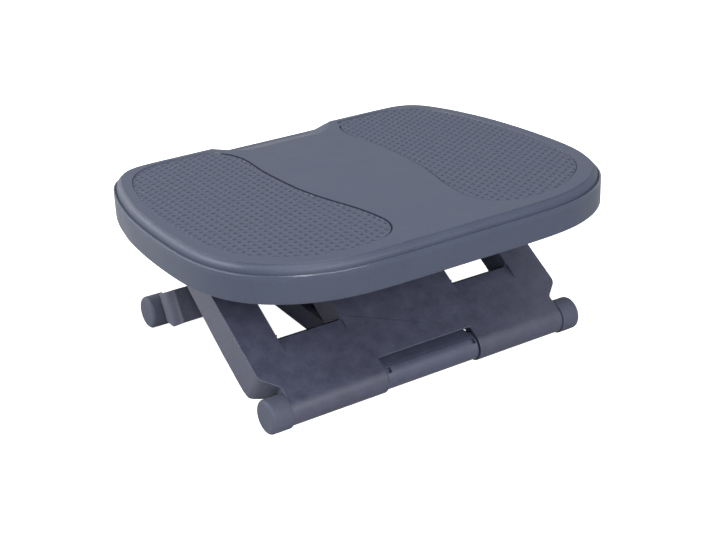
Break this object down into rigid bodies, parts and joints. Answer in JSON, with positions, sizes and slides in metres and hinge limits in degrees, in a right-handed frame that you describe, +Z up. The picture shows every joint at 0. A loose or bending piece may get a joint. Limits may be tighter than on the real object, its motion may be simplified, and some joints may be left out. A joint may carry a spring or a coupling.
{
  "type": "tilting under desk footrest",
  "caption": "Free-standing footrest: a wide rounded foot platform that tilts on top of two crossing leg panels with capped floor rolls, joined by a flat base link that sets the height.",
  "frame": {"origin": "on the floor under the middle of the object's box", "axes": "+Z up, +X across the object's width, +Y from the toe edge to the heel edge, towards the seated user"},
  "size_m": [0.4502, 0.351, 0.181],
  "materials": {
    "platform_plastic": "matte, fine moulded grain; raised diamond texture in the two foot areas",
    "leg_plastic": "matte, fine moulded grain",
    "link_plastic": "matte",
    "carrier_plastic": "matte",
    "cap_rubber": "matte soft rubber",
    "bush_nylon": "smooth nylon",
    "steel": "zinc plated",
    "bracket_steel": "black powder coat"
  },
  "bodies": {
    "base_link": {"base_link": "link_plastic", "hub_bushings": "bush_nylon", "front_axle_rod": "steel"},
    "front_leg": {"front_leg": "leg_plastic", "front_left_cap": "cap_rubber", "front_right_cap": "cap_rubber", "cross_pivot_rod": "steel", "cross_rod_clips": "steel", "heel_rod": "steel", "heel_rod_clips": "steel", "heel_rod_sleeves": "bush_nylon"},
    "rear_leg": {"rear_leg": "leg_plastic", "rear_left_cap": "cap_rubber", "rear_right_cap": "cap_rubber", "rear_axle_rod": "steel", "toe_rod": "steel", "toe_rod_clips": "steel", "toe_rod_sleeves": "bush_nylon"},
    "carrier": {"tilt_carrier": "carrier_plastic"},
    "platform": {"platform_shell": "platform_plastic", "tilt_bracket_left": "bracket_steel", "tilt_bracket_right": "bracket_steel", "bracket_screws": "steel", "tilt_pivot_bolts": "steel", "tilt_friction_washers": "bush_nylon", "tilt_lock_nuts": "steel"}
  },
  "joints": [
    {"name": "height_fold", "type": "hinge", "parent": "base_link", "child": "front_leg", "pos_m": [0, -0.1162, 0.0166], "axis": [1, 0, 0], "range_deg": [-14.5, 0]},
    {"name": "cross_pivot", "type": "hinge", "parent": "front_leg", "child": "rear_leg", "pos_m": [0, 0.00331, 0.0856], "axis": [1, 0, 0], "range_deg": [0, 29]},
    {"name": "carrier_level", "type": "hinge", "parent": "front_leg", "child": "carrier", "pos_m": [0, 0.08472, 0.1326], "axis": [1, 0, 0], "range_deg": [0, 14.5]},
    {"name": "platform_tilt", "type": "hinge", "parent": "carrier", "child": "platform", "pos_m": [0, 0.0033, 0.1495], "axis": [1, 0, 0], "range_deg": [-11.2, 11.8]}
  ],
  "couplings": [
    {"joint": "cross_pivot", "follows": "height_fold", "ratio": -2},
    {"joint": "carrier_level", "follows": "height_fold", "ratio": -1}
  ]
}
